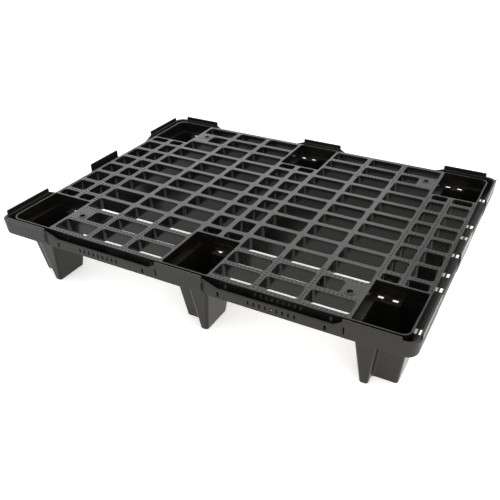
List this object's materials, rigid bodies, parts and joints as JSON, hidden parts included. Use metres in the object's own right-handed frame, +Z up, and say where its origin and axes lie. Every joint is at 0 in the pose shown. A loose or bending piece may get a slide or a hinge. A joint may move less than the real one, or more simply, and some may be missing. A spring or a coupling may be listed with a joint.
{
  "type": "nestable plastic pallet",
  "caption": "Low rectangular plastic pallet with an open ribbed deck, a stepped rim with upright lips, and hollow tapered feet that nest.",
  "frame": {"origin": "centre of the footprint, in the plane of the feet's undersides", "axes": "+X along the long side, +Y from the front long side to the back one, +Z up"},
  "size_m": [0.8, 0.6, 0.14],
  "materials": {
    "moulded_plastic": "satin, as moulded, black recycled polyolefin"
  },
  "bodies": {
    "root": {"deck_field_left": "moulded_plastic", "deck_field_right": "moulded_plastic", "deck_column_left": "moulded_plastic", "deck_column_middle": "moulded_plastic", "deck_column_right": "moulded_plastic", "display_plate_front_left": "moulded_plastic", "display_plate_front_right": "moulded_plastic", "display_plate_back_left": "moulded_plastic", "display_plate_back_right": "moulded_plastic", "nesting_cup_front_left": "moulded_plastic", "nesting_cup_front_middle": "moulded_plastic", "nesting_cup_front_right": "moulded_plastic", "nesting_cup_back_left": "moulded_plastic", "nesting_cup_back_middle": "moulded_plastic", "nesting_cup_back_right": "moulded_plastic", "skirt_collar_front_left": "moulded_plastic", "skirt_collar_front_right": "moulded_plastic", "skirt_collar_back_left": "moulded_plastic", "skirt_collar_back_right": "moulded_plastic", "skirt_collar_front_middle": "moulded_plastic", "skirt_collar_back_middle": "moulded_plastic", "skirt_collar_left": "moulded_plastic", "skirt_collar_right": "moulded_plastic", "skirt_span_front_left": "moulded_plastic", "skirt_span_front_right": "moulded_plastic", "skirt_span_back_left": "moulded_plastic", "skirt_span_back_right": "moulded_plastic", "skirt_span_left_front": "moulded_plastic", "skirt_span_right_front": "moulded_plastic", "skirt_span_left_back": "moulded_plastic", "skirt_span_right_back": "moulded_plastic", "gutter_floor_front": "moulded_plastic", "gutter_floor_back": "moulded_plastic", "gutter_floor_left": "moulded_plastic", "gutter_floor_right": "moulded_plastic", "stacking_lip_front_left": "moulded_plastic", "stacking_lip_front_middle": "moulded_plastic", "stacking_lip_front_right": "moulded_plastic", "stacking_lip_back_left": "moulded_plastic", "stacking_lip_back_middle": "moulded_plastic", "stacking_lip_back_right": "moulded_plastic", "stacking_lip_left_front": "moulded_plastic", "stacking_lip_right_front": "moulded_plastic", "stacking_lip_left_middle": "moulded_plastic", "stacking_lip_right_middle": "moulded_plastic", "stacking_lip_left_back": "moulded_plastic", "stacking_lip_right_back": "moulded_plastic"}
  },
  "joints": []
}
